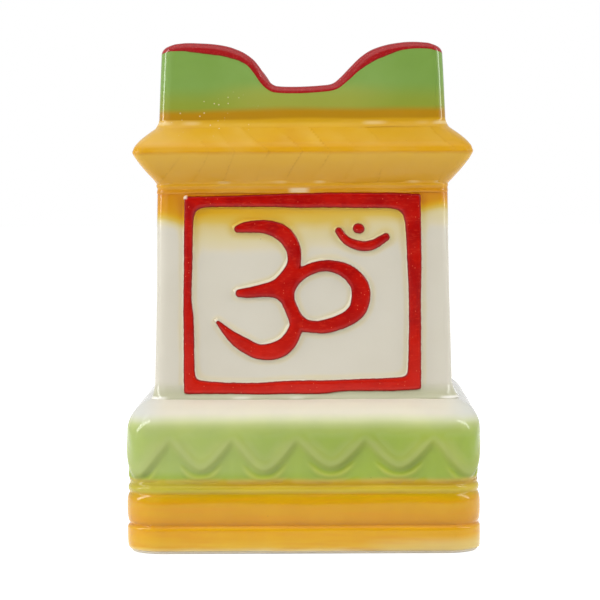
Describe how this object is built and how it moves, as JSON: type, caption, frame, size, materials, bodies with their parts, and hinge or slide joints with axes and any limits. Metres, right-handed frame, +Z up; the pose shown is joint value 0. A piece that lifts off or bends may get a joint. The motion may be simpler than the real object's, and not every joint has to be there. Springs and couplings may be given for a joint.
{
  "type": "tulsi vrindavan planter",
  "caption": "Square hollow ceramic planter: banded plinth with a scalloped valance, framed shaft, sharp cornice and a crown with dipped sides.",
  "frame": {"origin": "middle of the foot ring, on the surface that the planter stands on", "axes": "+Z up; the framed front looks along -Y; +X is to the right, seen from the front"},
  "size_m": [0.1564, 0.1564, 0.2233],
  "materials": {
    "bare_clay": "matt, unglazed white earthenware",
    "plinth_glaze": "glossy brushed glaze: cream shoulder, green belly, yellow bands",
    "cream_glaze": "glossy cream glaze",
    "yellow_glaze": "glossy brushed yellow glaze",
    "green_glaze": "glossy green glaze with a red rim",
    "red_glaze": "glossy brushed red glaze"
  },
  "bodies": {
    "root": {"floor_slab": "bare_clay", "plinth": "plinth_glaze", "shaft": "cream_glaze", "cornice": "yellow_glaze", "crown": "green_glaze", "front_frame": "red_glaze", "plinth_slip_joint": "cream_glaze", "cornice_slip_joint": "yellow_glaze", "crown_slip_joint": "green_glaze"}
  },
  "joints": []
}
